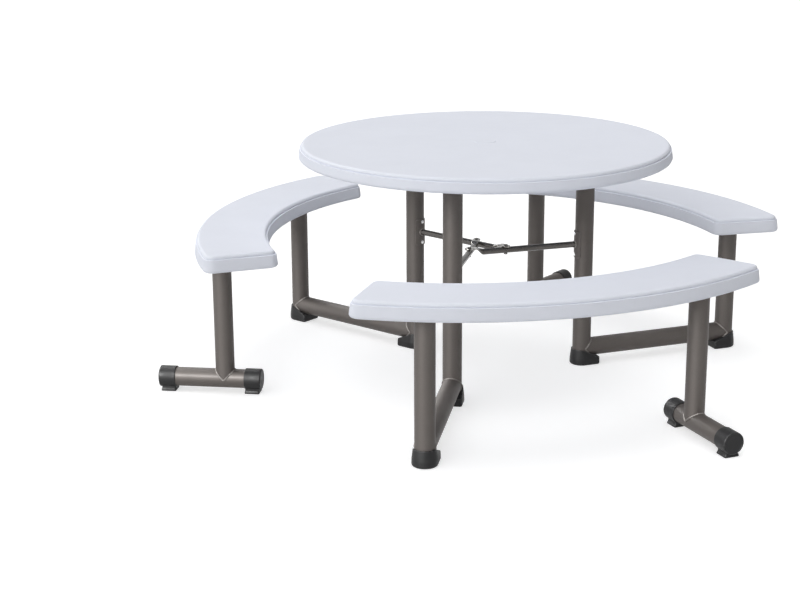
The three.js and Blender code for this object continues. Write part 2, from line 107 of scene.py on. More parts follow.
def angles(count):
    return [FULL_TURN * step / count for step in range(count)]


def polar(radius, angle, z=0.0):
    return Vector((radius * math.cos(angle), radius * math.sin(angle), z))


def ring(radius, z, sides):
    return [polar(radius, angle, z) for angle in angles(sides)]


def circle(along, radius, sides):
    """Offsets at even angles round an axis that runs along a direction."""
    side = along.orthogonal().normalized()
    other = along.cross(side)
    return [(side * math.cos(angle) + other * math.sin(angle)) * radius for angle in angles(sides)]


def rounded(corners, steps=6):
    """A line through corners (x, y, radius), with an arc of that radius at each corner."""
    line = []
    for index, (x, y, radius) in enumerate(corners):
        corner = Vector((x, y))
        if radius == 0:
            line.append(corner)
            continue
        before = (Vector(corners[index - 1][:2]) - corner).normalized()
        after = (Vector(corners[(index + 1) % len(corners)][:2]) - corner).normalized()
        half = before.angle(after) / 2
        centre = corner + (before + after).normalized() * (radius / math.sin(half))
        start = corner + before * (radius / math.tan(half)) - centre
        end = corner + after * (radius / math.tan(half)) - centre
        line += [centre + start.slerp(end, step / steps) * radius for step in range(steps + 1)]
    return line


def close_set(line, reach=0.003):
    """The line with a point near both ends of each long stretch, so that pale edges, of wear and of painted
    highlight, stay narrow.
    """
    result = [line[0]]
    for one, two in zip(line, line[1:]):
        span = (two - one).length
        if span > 3 * reach:
            step = (two - one) * (reach / span)
            result += [one + step, two - step]
        result.append(two)
    return result


def skin(rings, wrap=False, capped=False):
    """A surface over rings of equal counts; wrap joins the last ring to the first."""
    shape = bmesh.new()
    loops = [[shape.verts.new(point) for point in points] for points in rings]
    pairs = list(zip(loops, loops[1:]))
    if wrap:
        pairs.append((loops[-1], loops[0]))
    for one, two in pairs:
        for i in range(len(one)):
            j = (i + 1) % len(one)
            shape.faces.new((one[i], one[j], two[j], two[i]))
    if capped:
        shape.faces.new(loops[0])
        shape.faces.new(loops[-1])
    return shape


def turned(profile, sides, wrap=False):
    """A profile of radii and heights turned about Z; wrap closes the profile on itself."""
    return skin([ring(radius, z, sides) for radius, z in profile], wrap)


def close_up(shape):
    """Merges seams and poles, closes the small holes that a bevel can leave, and turns the faces out."""
    bmesh.ops.remove_doubles(shape, verts=shape.verts, dist=MERGE)
    bmesh.ops.dissolve_degenerate(shape, edges=shape.edges, dist=MERGE)
    bmesh.ops.holes_fill(shape, edges=[edge for edge in shape.edges if edge.is_boundary], sides=0)
    bmesh.ops.recalc_face_normals(shape, faces=shape.faces)


# %% [markdown]
# Finished paint and plastic show their age first where an edge stands out. Each mesh therefore carries a
# value called edge, which is 1 where its faces meet at a sharp outer angle and 0 where it is flat, unless
# the shape brings a value along, as the pressed ends of the brace do. The materials read it and paint those
# places pale: wear, and on the brace tongues and the rims of the feet also a painted highlight. Because it
# belongs to the mesh, it stays on the surface in every view and pose.

# %% Helpers for pieces
SHARP_ANGLE = math.radians(35)
EDGE_START = math.radians(7)
EDGE_FULL = math.radians(22)
materials = {}


def mark_edges(shape):
    layer = shape.verts.layers.float.get("edge") or shape.verts.layers.float.new("edge")
    for vert in shape.verts:
        bends = [edge.calc_face_angle_signed() for edge in vert.link_edges if edge.is_manifold]
        bend = max(bends, default=0)
        vert[layer] = min(max((bend - EDGE_START) / (EDGE_FULL - EDGE_START), vert[layer]), 1)


def new_mesh(name, shape):
    mesh = bpy.data.meshes.new(name)
    shape.to_mesh(mesh)
    shape.free()
    return mesh


def new_object(name, data):
    obj = bpy.data.objects.new(name, data)
    bpy.context.scene.collection.objects.link(obj)
    return obj


def piece(name, shape, finish, body, *nodes, slot=None):
    """A finished object: it rides on a body, takes a finish and stands for solids."""
    close_up(shape)
    mark_edges(shape)
    mesh = new_mesh(name, shape)
    mesh.shade_smooth()
    mesh.set_sharp_from_angle(angle=SHARP_ANGLE)
    mesh.materials.append(materials[finish])
    obj = new_object(name, mesh)
    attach(obj, body)
    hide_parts(*nodes)
    print(name, "on", body, "faces:", len(mesh.polygons))


def in_sectors(words, shape, finish, swings=False, at=Matrix()):
    """A piece in each sector, moved to its place there, on the fixed frame or on the bench that swings."""
    for number in SECTORS:
        placed = shape.copy()
        placed.transform(sector_frames[number] @ at)
        body = f"bench_{number}" if swings else "table_frame"
        piece(f"{words}_{number}_look", placed, finish, body, f"{words}_{number}")
    shape.free()


# %% [markdown]
# Finishes that share an effect share a node group. The first group is a fine grain: the pebbled skin of
# blow-moulded plastic, the orange peel of powder coat and the matt texture of the feet differ only in
# size and depth. The second is a slow mottling that keeps a large face from looking printed. The third
# paints the edges pale, using the value that each mesh carries: wear, and on the brace tongues and the
# rims of the feet also a painted highlight. The fourth draws faint scuffs.

# %% Shader groups
GREY = (0.5, 0.5, 0.5, 1)
FINER_GRAIN = 2.3
MOTTLE_RANGE = (0.32, 0.68)
PATCH_RANGE = (0.35, 0.65)
SCUFF_RANGE = (0.60, 0.78)
SCUFF_TURNS = (0.5, 2.1)


def wire(node, inputs):
    """Sets a node's inputs to values, or wires them to sockets."""
    for key, value in inputs.items():
        if isinstance(value, bpy.types.NodeSocket):
            node.id_data.links.new(value, node.inputs[key])
        else:
            node.inputs[key].default_value = value
    return node


def add(tree, kind, inputs=None, **settings):
    node = tree.nodes.new(kind)
    for key, value in settings.items():
        setattr(node, key, value)
    return wire(node, inputs or {})


def shader_group(name, outputs, **inputs):
    """An empty group; inputs come with a first value, and an output called Colour is a colour."""
    tree = bpy.data.node_groups.new(name, "ShaderNodeTree")
    for title, value in inputs.items():
        kind = "NodeSocketColor" if isinstance(value, tuple) else "NodeSocketFloat"
        tree.interface.new_socket(name=title, in_out="INPUT", socket_type=kind).default_value = value
    for title in outputs:
        kind = "NodeSocketColor" if title == "Colour" else "NodeSocketFloat"
        tree.interface.new_socket(name=title, in_out="OUTPUT", socket_type=kind)
    return tree, add(tree, "NodeGroupInput").outputs, add(tree, "NodeGroupOutput")


def math_node(tree, operation, first, second=0.0, clamp=False):
    inputs = {0: first, 1: second}
    return add(tree, "ShaderNodeMath", inputs, operation=operation, use_clamp=clamp).outputs[0]


def between(tree, value, low, high, to_low=0.0, to_high=1.0):
    names = ("Value", "From Min", "From Max", "To Min", "To Max")
    inputs = dict(zip(names, (value, low, high, to_low, to_high)))
    return add(tree, "ShaderNodeMapRange", inputs, interpolation_type="SMOOTHSTEP").outputs[0]


def blend(tree, factor, first, second):
    return add(tree, "ShaderNodeMix", {0: factor, 6: first, 7: second}, data_type="RGBA").outputs[2]


def noise(tree, place, size, detail, roughness=0.5):
    scale = math_node(tree, "DIVIDE", 1.0, size)
    inputs = {"Vector": place, "Scale": scale, "Detail": detail, "Roughness": roughness}
    return add(tree, "ShaderNodeTexNoise", inputs).outputs["Fac"]


def object_place(tree):
    return add(tree, "ShaderNodeTexCoord").outputs["Object"]


def grain_group():
    tree, given, out = shader_group("fine_grain", ["Height"], Size=0.002, Pits=0.5)
    place = object_place(tree)
    scale = math_node(tree, "DIVIDE", 1.0, given["Size"])
    pebbles = add(tree, "ShaderNodeTexVoronoi", {"Vector": place, "Scale": scale}, feature="SMOOTH_F1")
    fine = noise(tree, place, math_node(tree, "DIVIDE", given["Size"], FINER_GRAIN), detail=3.0)
    pits = math_node(tree, "MULTIPLY", pebbles.outputs["Distance"], given["Pits"])
    wire(out, {"Height": math_node(tree, "SUBTRACT", fine, pits)})
    return tree


def mottle_group():
    tree, given, out = shader_group("slow_mottle", ["Colour", "Value"], Colour=GREY, Second=GREY, Size=0.1,
                                    Amount=0.5)
    broad = noise(tree, object_place(tree), given["Size"], detail=5.0, roughness=0.62)
    value = between(tree, broad, *MOTTLE_RANGE)
    factor = math_node(tree, "MULTIPLY", value, given["Amount"])
    wire(out, {"Colour": blend(tree, factor, given["Colour"], given["Second"]), "Value": value})
    return tree


def worn_and_highlit_group():
    tree, given, out = shader_group("worn_and_highlit_edges", ["Colour"], Colour=GREY, Worn=GREY, Size=0.01, Amount=0.5)
    edge = add(tree, "ShaderNodeAttribute", attribute_name="edge").outputs["Fac"]
    patchy = between(tree, noise(tree, object_place(tree), given["Size"], detail=4.0), *PATCH_RANGE)
    # The mask paints the edges pale: wear, and where a finish asks for it also a painted highlight.
    mask = math_node(tree, "MULTIPLY", math_node(tree, "MULTIPLY", edge, patchy), given["Amount"], clamp=True)
    wire(out, {"Colour": blend(tree, mask, given["Colour"], given["Worn"])})
    return tree


def scuff_group():
    tree, given, out = shader_group("faint_scuffs", ["Mask"], Length=0.06, Thinness=14.0, Amount=0.5)
    stretch = add(tree, "ShaderNodeCombineXYZ", {"X": 1.0, "Y": given["Thinness"], "Z": 1.0}).outputs[0]
    masks = []
    for turn in SCUFF_TURNS:
        bent = add(tree, "ShaderNodeVectorRotate", {"Vector": object_place(tree), "Angle": turn})
        drawn = add(tree, "ShaderNodeVectorMath", {0: bent.outputs[0], 1: stretch}, operation="MULTIPLY")
        lines = noise(tree, drawn.outputs[0], given["Length"], detail=6.0)
        masks.append(between(tree, lines, *SCUFF_RANGE))
    both = math_node(tree, "MAXIMUM", *masks)
    wire(out, {"Mask": math_node(tree, "MULTIPLY", both, given["Amount"])})
    return tree


groups = {make.__name__: make() for make in (grain_group, mottle_group, worn_and_highlit_group, scuff_group)}
print("shader groups:", [tree.name for tree in groups.values()])

# %% [markdown]
# The finishes. White high-density polyethylene is slightly blue, matt and pebbled. The tubes have a
# bronze-grey powder coat with a fine metallic fleck. The weld beads get a paler coat, which is a painted
# highlight along each bead. The brace has a darker, glossier coat, painted pale on its pressed tongues as
# a painted highlight. The feet are charcoal plastic whose pale edges are partly wear and partly a painted
# highlight where the rims catch the light. The bushing is natural nylon. Rivets and screws are zinc-plated,
# bolts and nuts blackened. Every number that is the same all over sits on the shader itself, and only what
# varies is wired.

# %% Finishes
FLECK_SCALE = 900.0
FLECK_RANGE = (0.55, 1.0)
FLECK_AMOUNT = 0.08
SCUFF_COLOUR = (0.62, 0.63, 0.66, 1)
SPECULAR = "Specular IOR Level"
COAT = "Coat Weight"
COAT_ROUGHNESS = "Coat Roughness"


def use(tree, group, **inputs):
    return add(tree, "ShaderNodeGroup", inputs, node_tree=groups[group]).outputs


def new_material(name):
    materials[name] = bpy.data.materials.new(name)
    materials[name].use_nodes = True
    return materials[name].node_tree


def make_finish(name, mottle, gloss, grain, bump, plain, worn_and_highlit=None, fleck=None, scuffs=None):
    """Mottled colour, then flecks, pale edges (wear, on some finishes also a painted highlight) and scuffs
    where they are asked for, then gloss and grain.
    """
    tree = new_material(name)
    mottled = use(tree, "mottle_group", **mottle)
    colour = mottled["Colour"]
    rough = between(tree, mottled["Value"], 0.0, 1.0, *gloss)
    if fleck:
        flakes = add(tree, "ShaderNodeTexVoronoi", {"Vector": object_place(tree), "Scale": FLECK_SCALE})
        glint = between(tree, flakes.outputs["Color"], *FLECK_RANGE, 0.0, FLECK_AMOUNT)
        colour = blend(tree, glint, colour, fleck)
    if worn_and_highlit:
        colour = use(tree, "worn_and_highlit_group", Colour=colour, **worn_and_highlit)["Colour"]
    if scuffs:
        mask = use(tree, "scuff_group", **scuffs)["Mask"]
        colour = blend(tree, mask, colour, SCUFF_COLOUR)
        rough = math_node(tree, "ADD", rough, mask)
    height = use(tree, "grain_group", **grain)["Height"]
    strength, distance = bump
    normal = add(tree, "ShaderNodeBump", {"Height": height, "Strength": strength, "Distance": distance})
    sockets = {"Base Color": colour, "Roughness": rough, "Normal": normal.outputs[0], **plain}
    wire(tree.nodes["Principled BSDF"], sockets)


def darker(colour, share):
    return tuple(value * share for value in colour[:3]) + (1,)


def painted(name, colour, worn_and_highlit_colour, rough, plain, worn_and_highlit=0.45):
    make_finish(name, mottle=dict(Colour=colour, Second=darker(colour, 0.92), Size=0.12, Amount=0.6),
                fleck=worn_and_highlit_colour, worn_and_highlit=dict(Worn=worn_and_highlit_colour, Size=0.012, Amount=worn_and_highlit), gloss=(rough, rough + 0.05),
                grain=dict(Size=0.0035, Pits=0.3), bump=(0.06, 0.0004), plain=plain)


def plated(name, colour, worn_and_highlit_colour):
    make_finish(name, mottle=dict(Colour=colour, Second=darker(colour, 0.8), Size=0.006, Amount=0.7),
                worn_and_highlit=dict(Worn=worn_and_highlit_colour, Size=0.004, Amount=0.6), gloss=(0.24, 0.38),
                grain=dict(Size=0.0006, Pits=0.2), bump=(0.05, 0.0002), plain={"Metallic": 1.0})


make_finish("moulded_plastic",
            mottle=dict(Colour=(0.785, 0.810, 0.885, 1), Second=(0.765, 0.789, 0.862, 1),
                        Size=0.16, Amount=0.6),
            worn_and_highlit=dict(Worn=(0.81, 0.835, 0.905, 1), Size=0.02, Amount=0.5),
            scuffs=dict(Length=0.09, Thinness=16.0, Amount=0.06), gloss=(0.78, 0.88),
            grain=dict(Size=0.0022, Pits=0.7), bump=(0.14, 0.0006), plain={SPECULAR: 0.1})
painted("frame_paint", (0.112, 0.099, 0.091, 1), (0.27, 0.25, 0.235, 1), 0.56,
        {"Metallic": 0.35, SPECULAR: 0.25, COAT: 0.12, COAT_ROUGHNESS: 0.24})
# Paler coat for the weld beads: a painted highlight along each bead.
painted("weld_highlight_paint", (0.165, 0.150, 0.140, 1), (0.38, 0.36, 0.34, 1), 0.44,
        {"Metallic": 0.35, SPECULAR: 0.3})
# The brace's pale colour, laid over the tongues, is a painted highlight.
painted("brace_paint", (0.085, 0.077, 0.070, 1), (0.66, 0.64, 0.60, 1), 0.20,
        {"Metallic": 0.70, SPECULAR: 0.5, COAT: 0.5, COAT_ROUGHNESS: 0.12}, worn_and_highlit=0.95)
# The pale edge colour of the feet is partly wear and partly a painted highlight along the rims that catch
# light.
make_finish("foot_plastic",
            mottle=dict(Colour=(0.015, 0.015, 0.016, 1), Second=(0.022, 0.0215, 0.022, 1),
                        Size=0.03, Amount=0.7),
            worn_and_highlit=dict(Worn=(0.14, 0.14, 0.145, 1), Size=0.008, Amount=0.6), gloss=(0.42, 0.56),
            grain=dict(Size=0.0016, Pits=0.9), bump=(0.25, 0.0005), plain={SPECULAR: 0.25})
make_finish("bushing_plastic",
            mottle=dict(Colour=(0.68, 0.65, 0.58, 1), Second=(0.62, 0.59, 0.51, 1), Size=0.02, Amount=0.6),
            gloss=(0.38, 0.5), grain=dict(Size=0.0012, Pits=0.3), bump=(0.08, 0.0003), plain={})
plated("bare_steel", (0.78, 0.78, 0.79, 1), (0.90, 0.90, 0.90, 1))
plated("dark_bolts", (0.11, 0.105, 0.10, 1), (0.30, 0.29, 0.28, 1))
print("finishes:", sorted(materials))

# %% [markdown]
# The table top and the seats are blow-moulded, so they share one edge: a rounded shoulder, a groove and
# a narrow ledge that catches the light, a rim that leans out, a soft lower edge, and a hollow behind the
# lip. It is drawn once as insets from the widest outline and heights, so that it can follow any outline.

# %% Moulded edge
LEDGE_WIDTH = 0.0040
LEDGE_FALL = 0.0006
LEDGE_ROUND = 0.0010
GROOVE_DEPTH = 0.0025
GROOVE_HEIGHT = 0.0022
GROOVE_DROP = 0.0004
GROOVE_LIP = 0.0003
GROOVE_ROUND = 0.0006
SHOULDER = 0.0085
FLARE = 0.0052
LOWER_ROUND = 0.0085
LIP_ROUND = 0.0020
HOLLOW_ROUND = 0.0040
HOLLOW_DRAFT = 0.25
SUPPORT = 0.004


def moulded_edge(height, depth, slab, lip):
    ledge = FLARE + LEDGE_WIDTH
    groove = height - SHOULDER - GROOVE_DROP
    draft = (depth - slab) * HOLLOW_DRAFT
    return close_set(rounded([
        (ledge + SHOULDER + SUPPORT, height, 0),
        (ledge, height, SHOULDER),
        (ledge, groove, GROOVE_LIP),
        (ledge + GROOVE_DEPTH, groove - GROOVE_HEIGHT, GROOVE_ROUND),
        (FLARE, groove - GROOVE_HEIGHT - LEDGE_FALL, LEDGE_ROUND),
        (0, height - depth, LOWER_ROUND),
        (lip, height - depth, LIP_ROUND),
        (lip + draft, height - slab, HOLLOW_ROUND),
        (lip + draft + SUPPORT, height - slab, 0),
    ]))


# %% [markdown]
# The top is a body of revolution, so its edge is turned about the table's axis, together with the recess
# and the hole for a pole. The plug that closes the hole is turned as well: a thin cap with a soft edge on
# a hollow stem with two grip rings.

# %% Table top and plug
TOP_SIDES = 192
TOP_DEPTH = 0.043
TOP_SLAB = 0.026
TOP_LIP = 0.024
HOLE_ROUND = 0.0015
RECESS_DEPTH = 0.0033
RECESS_CORNER = 0.0004
RECESS_RIM = 0.0006
PLUG_SIDES = 96
PLUG_CAP = 0.034
PLUG_BORE = 0.026
PLUG_GAP = 0.0003
PLUG_THICKNESS = 0.003
PLUG_ROUND = 0.0011
PLUG_LOWER_ROUND = 0.0003
STEM_SLACK = 0.0004
STEM_WALL = 0.0024
STEM_ROUND = 0.0004
STEM_CORNER = 0.001
GRIP_DEPTHS = (0.0085, 0.0145)
GRIP_HALF = 0.0008
top_low, top_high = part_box("table_top")
plug_low, plug_high = heights("pole_hole_plug")


def table_top():
    radius = (top_high.x - top_low.x) / 2
    edge = moulded_edge(top_high.z, TOP_DEPTH, TOP_SLAB, TOP_LIP)
    recess = PLUG_CAP + PLUG_GAP
    floor = plug_high - RECESS_DEPTH
    hole = [
        (radius - edge[-1].x, edge[-1].y, 0),
        (PLUG_BORE, top_high.z - TOP_SLAB, HOLE_ROUND),
        (PLUG_BORE, floor, RECESS_CORNER),
        (recess, floor, RECESS_CORNER),
        (recess, top_high.z, RECESS_RIM),
        (radius - edge[0].x, edge[0].y, 0),
    ]
    inner = close_set(rounded(hole, steps=3))[1:-1]
    return turned([(radius - point.x, point.y) for point in edge] + inner, TOP_SIDES, wrap=True)


def hole_plug():
    under = plug_high - PLUG_THICKNESS
    grip = PLUG_BORE - PLUG_GAP
    stem = grip - STEM_SLACK
    inside = grip - STEM_WALL
    corners = [(0, plug_high, 0), (PLUG_CAP, plug_high, PLUG_ROUND), (PLUG_CAP, under, PLUG_LOWER_ROUND)]
    corners += [(stem, under, 0)]
    for depth in GRIP_DEPTHS:
        start = plug_high - depth
        corners += [(stem, start, 0), (grip, start - GRIP_HALF, 0), (stem, start - 2 * GRIP_HALF, 0)]
    corners += [(stem, plug_low, STEM_ROUND), (inside, plug_low, STEM_ROUND)]
    corners += [(inside, under, STEM_CORNER), (0, under, 0)]
    return turned(close_set(rounded(corners, steps=4)), PLUG_SIDES)


for words, shape, body in (
    ("table_top", table_top(), "table_frame"), ("pole_hole_plug", hole_plug(), "hole_plug"),
):
    shape.transform(Matrix.Translation(raised(table_axis, 0)))
    piece(words + "_look", shape, "moulded_plastic", body, words)

# %% [markdown]
# A seat is an arc with straight ends and rounded corners. The same edge runs round it: each point of the
# edge gives one ring, drawn in from the widest outline by its inset. A ring is kept as an outer and an
# inner half, point against point, so that the flat faces can be closed with strips across the seat.

# %% Seats
SEAT_RADIUS = 0.9734
SEAT_WIDTH = 0.224
SEAT_HALF_ANGLE = math.radians(33.6)
SEAT_CORNER = 0.032
LEG_SETOUT = 0.0346
SEAT_DEPTH = 0.050
SEAT_SLAB = 0.027
SEAT_LIP = 0.020
ARC_STEPS = 36
CORNER_STEPS = 14


def seat_arc_centre():
    half = (free_leg - pivot_leg) / 2
    inward = Vector((-half.y, half.x, 0)).normalized()
    rise = math.sqrt((SEAT_RADIUS + LEG_SETOUT) ** 2 - half.length_squared)
    return pivot_leg + half + inward * rise


def arc(centre, radius, start, end, steps):
    return [centre + polar(radius, start + (end - start) * step / steps) for step in range(steps + 1)]


def half_outline(inset, outer):
    """One long side of the seat, from the middle of one end to the middle of the other."""
    corner = SEAT_CORNER - inset
    side, out = (1, 0) if outer else (-1, math.pi)
    reach = SEAT_RADIUS + side * (SEAT_WIDTH / 2 - SEAT_CORNER)
    swing = SEAT_HALF_ANGLE - math.asin(SEAT_CORNER / reach)
    square = SEAT_HALF_ANGLE + math.pi / 2
    long = arc(Vector(), reach + side * corner, 0, swing, ARC_STEPS)
    last = arc(polar(reach, swing), corner, swing + out, square, CORNER_STEPS)
    tip = polar(SEAT_RADIUS, SEAT_HALF_ANGLE) - polar(inset, square)
    rest = long[:-1] + last + [tip]
    return [Vector((point.x, -point.y, 0)) for point in rest[:0:-1]] + rest


def seat_ring(inset, z):
    lift = set_at(raised(seat_centre, z), seat_chord)
    return [[lift @ point for point in half_outline(inset, outer)] for outer in (True, False)]


def seat():
    edge = moulded_edge(heights("seat_1")[1], SEAT_DEPTH, SEAT_SLAB, SEAT_LIP)
    halves = [seat_ring(point.x, point.y) for point in edge]
    shape = skin([outer + inner[-2:0:-1] for outer, inner in halves])
    for outer, inner in (halves[0], halves[-1]):
        for i in range(len(outer) - 1):
            strip = (outer[i], outer[i + 1], inner[i + 1], inner[i])
            shape.faces.new([shape.verts.new(point) for point in strip])
    return shape


seat_centre = seat_arc_centre()
seat_chord = (free_leg + pivot_leg) / 2 - seat_centre
print("seat arc about", [round(value, 4) for value in seat_centre])
in_sectors("seat", seat(), "moulded_plastic", swings=True)

# %% [markdown]
# Every tube of the frame is cut to fit what it is welded to, as a tube notcher does it. A tube is built
# from two walls whose ends follow a rule: for a point across the tube, the rule says where along the tube
# the wall stops. Where a tube meets another square on, that is the surface of the other tube.

# %% Tubes
TUBE_RADIUS = 0.0286
TUBE_WALL = 0.002
TUBE_SIDES = 72
END_BAND = 0.003
SEAT_GAP = 0.0003
FOOT_OUTER = 0.194
FOOT_INNER = 0.106
floor_height = middle("floor_tube_1").z
foot_height = middle("foot_tube_1").z
leg_low, leg_high = heights("table_leg_1")
pivot_high = heights("pivot_leg_1")[1]
bench_tube_high = heights("free_leg_1")[1]
up = Vector((0, 0, 1))


def flat_end(across):
    return 0.0


def notch(along):
    """The rule for an end that fits a tube through it, whose axis runs along a direction."""
    def rule(across):
        off = across - along * across.dot(along)
        return math.sqrt(max(TUBE_RADIUS ** 2 - off.length_squared, 0))
    return rule


def tube(start, end, near=flat_end, far=flat_end):
    along = (end - start).normalized()
    bore = TUBE_RADIUS - TUBE_WALL
    rings = []
    for radius, point, sign, rule, back in (
        (TUBE_RADIUS, start, 1, near, 0), (TUBE_RADIUS, start, 1, near, END_BAND),
        (TUBE_RADIUS, end, -1, far, END_BAND), (TUBE_RADIUS, end, -1, far, 0),
        (bore, end, -1, far, 0), (bore, start, 1, near, 0),
    ):
        offsets = circle(along, radius, TUBE_SIDES)
        rings.append([point + across + along * (sign * (rule(across) + back)) for across in offsets])
    return skin(rings, wrap=True)


foot_run = middle("foot_cap_outer_1") - middle("foot_cap_inner_1")
foot_along = sector_frames[1].to_3x3().inverted() @ raised(foot_run, 0).normalized()
foot_middle = raised(free_leg, foot_height)
foot_ends = (foot_middle - foot_along * FOOT_INNER, foot_middle + foot_along * FOOT_OUTER)
floor_ends = (raised(table_leg, floor_height), raised(pivot_leg, floor_height))
upright = notch(up)
free_tube = tube(foot_middle, raised(free_leg, bench_tube_high), near=notch(foot_along))
in_sectors("table_leg", tube(raised(table_leg, leg_low), raised(table_leg, leg_high)), "frame_paint")
in_sectors("pivot_leg", tube(raised(pivot_leg, leg_low), raised(pivot_leg, pivot_high)), "frame_paint")
in_sectors("floor_tube", tube(*floor_ends, near=upright, far=upright), "frame_paint")
in_sectors("free_leg", free_tube, "frame_paint", swings=True)
in_sectors("foot_tube", tube(*foot_ends), "frame_paint", swings=True)

# %% [markdown]
# The feet of the fixed legs are plastic shoes. Each is drawn as rings of one outline, a half round behind
# the leg and a square toe under the floor tube. A boolean then cuts the socket for the leg, the cradle for
# the tube and the slope of the rim, and a bevel softens what the cuts leave. A line of points below the rim
# keeps the pale line along the rim narrow; that line is wear and a painted highlight of the lit rim in one.

# %% Boots
BOOT_HALF_WIDTH = 0.0365
BOOT_HEIGHT = 0.050
BOOT_PROFILE = [(0.010, 0, 0), (0, 0, 0.006), (0.0004, 0.020, 0.050), (0.004, BOOT_HEIGHT, 0)]
BOOT_BREAK = -0.010
BOOT_BREAK_ROUND = 0.030
BOOT_SLOPE = 0.42
BOOT_TRIM = 0.0004
BOOT_SOLE = 0.008
BOOT_TOE = 0.005
BOOT_REACH = 0.049
BOOT_CLEARANCE = 0.0010
BOOT_SOFT = 0.0012
BEVEL_FROM = math.radians(32)


def loose_object(name, shape):
    close_up(shape)
    return new_object(name, new_mesh(name, shape))


def baked(obj):
    """The object's shape with its modifiers, as a bmesh; the object itself is removed."""
    graph = bpy.context.evaluated_depsgraph_get()
    mesh = bpy.data.meshes.new_from_object(obj.evaluated_get(graph))
    shape = bmesh.new()
    shape.from_mesh(mesh)
    bpy.data.meshes.remove(mesh)
    bpy.data.objects.remove(obj)
    return shape


def carved(shape, cutters, joined=(), bevel=0.0, bands=()):
    """A shape with others joined to it and cut from it, its sharp edges softened, and lines along planes."""
    obj = loose_object("carved", shape)
    tools = []
    for operation, others in (("UNION", joined), ("DIFFERENCE", cutters)):
        for other in others:
            tools.append(loose_object("tool", other))
            modifier = obj.modifiers.new(operation, "BOOLEAN")
            modifier.operation = operation
            modifier.object = tools[-1]
    if bevel:
        modifier = obj.modifiers.new("soft", "BEVEL")
        modifier.width = bevel
        modifier.segments = 2
        modifier.angle_limit = BEVEL_FROM
    result = baked(obj)
    for tool in tools:
        bpy.data.objects.remove(tool)
    for point, facing in bands:
        everything = result.verts[:] + result.edges[:] + result.faces[:]
        bmesh.ops.bisect_plane(result, geom=everything, plane_co=point, plane_no=facing)
    return result


def rod(start, end, radius):
    offsets = circle((end - start).normalized(), radius, TUBE_SIDES)
    return skin([[point + offset for offset in offsets] for point in (start, end)], capped=True)


def boot():
    """A foot in its own frame: the leg stands at the origin and the floor tube runs along +X."""
    rings = []
    for inset, z in rounded(BOOT_PROFILE):
        width = BOOT_HALF_WIDTH - inset
        reach = BOOT_REACH - inset
        toe = rounded([(0, -width, 0), (reach, -width, BOOT_TOE), (reach, width, BOOT_TOE), (0, width, 0)])
        back = arc(Vector((0, 0, z)), width, math.pi / 2, 1.5 * math.pi, TUBE_SIDES // 2)
        rings.append([Vector((x, y, z)) for x, y in toe] + back[1:-1])
    beyond = BOOT_REACH + BOOT_HALF_WIDTH
    rim = BOOT_HEIGHT - BOOT_TRIM
    high = 2 * BOOT_HEIGHT
    wedge = rounded([
        (-beyond, rim, 0), (BOOT_BREAK, rim, BOOT_BREAK_ROUND),
        (beyond, BOOT_HEIGHT - BOOT_SLOPE * (beyond - BOOT_BREAK), 0), (beyond, high, 0), (-beyond, high, 0),
    ])
    slope = skin([[Vector((x, y, z)) for x, z in wedge] for y in (-beyond, beyond)], capped=True)
    hollow = TUBE_RADIUS + BOOT_CLEARANCE
    socket = rod(Vector((0, 0, BOOT_SOLE)), Vector((0, 0, high)), hollow)
    cradle = rod(Vector((0, 0, floor_height)), Vector((beyond, 0, floor_height)), hollow)
    # The points below the rim keep the pale rim line narrow: wear together with a painted highlight.
    below_rim = Vector((BOOT_BREAK, 0, BOOT_HEIGHT - END_BAND))
    bands = [(below_rim, up), (below_rim, Vector((BOOT_SLOPE, 0, 1)))]
    return carved(skin(rings, capped=True), [slope, socket, cradle], bevel=BOOT_SOFT, bands=bands)


run = (pivot_leg - table_leg).normalized()
for words, place, heading in (("table_leg_foot", table_leg, run), ("pivot_leg_foot", pivot_leg, -run)):
    in_sectors(words, boot(), "foot_plastic", at=set_at(place, heading))

# %% [markdown]
# A cap closes each end of a foot tube: a sleeve with a rim round its end, standing on a pad whose lower lip
# spreads a little on the floor. The sleeve is turned, the pad is skinned over rounded rectangles, and a
# boolean joins them and clears the tube.

# %% Foot caps
CAP_WALL = 0.0034
CAP_SLEEVE = 0.044
CAP_END = 0.0063
CAP_ROUND = 0.0034
CAP_RECESS = 0.0009
CAP_RECESS_ROUND = 0.0008
CAP_RIM = 0.0048
CAP_RIM_FALL = 0.0006
CAP_RIM_ROUND = 0.0006
CAP_MOUTH_ROUND = 0.0012
CAP_BORE_ROUND = 0.0006
CAP_SOFT = 0.0006
PAD_LENGTH = 0.042
PAD_WIDTH = 0.046
PAD_NECK = 0.040
PAD_CORNER = 0.004
PAD_FLANK = [
    (PAD_WIDTH / 2 - 0.003, 0, 0), (PAD_WIDTH / 2, 0, 0.0012), (PAD_WIDTH / 2 - 0.0006, 0.005, 0.0015),
    (PAD_NECK / 2, 0.0085, 0.004), (PAD_NECK / 2, foot_height - TUBE_RADIUS * 0.4, 0),
]


def rounded_rectangle(length, width, corner, steps=6):
    x, y = length / 2, width / 2
    return rounded([(x, -y, corner), (x, y, corner), (-x, y, corner), (-x, -y, corner)], steps)


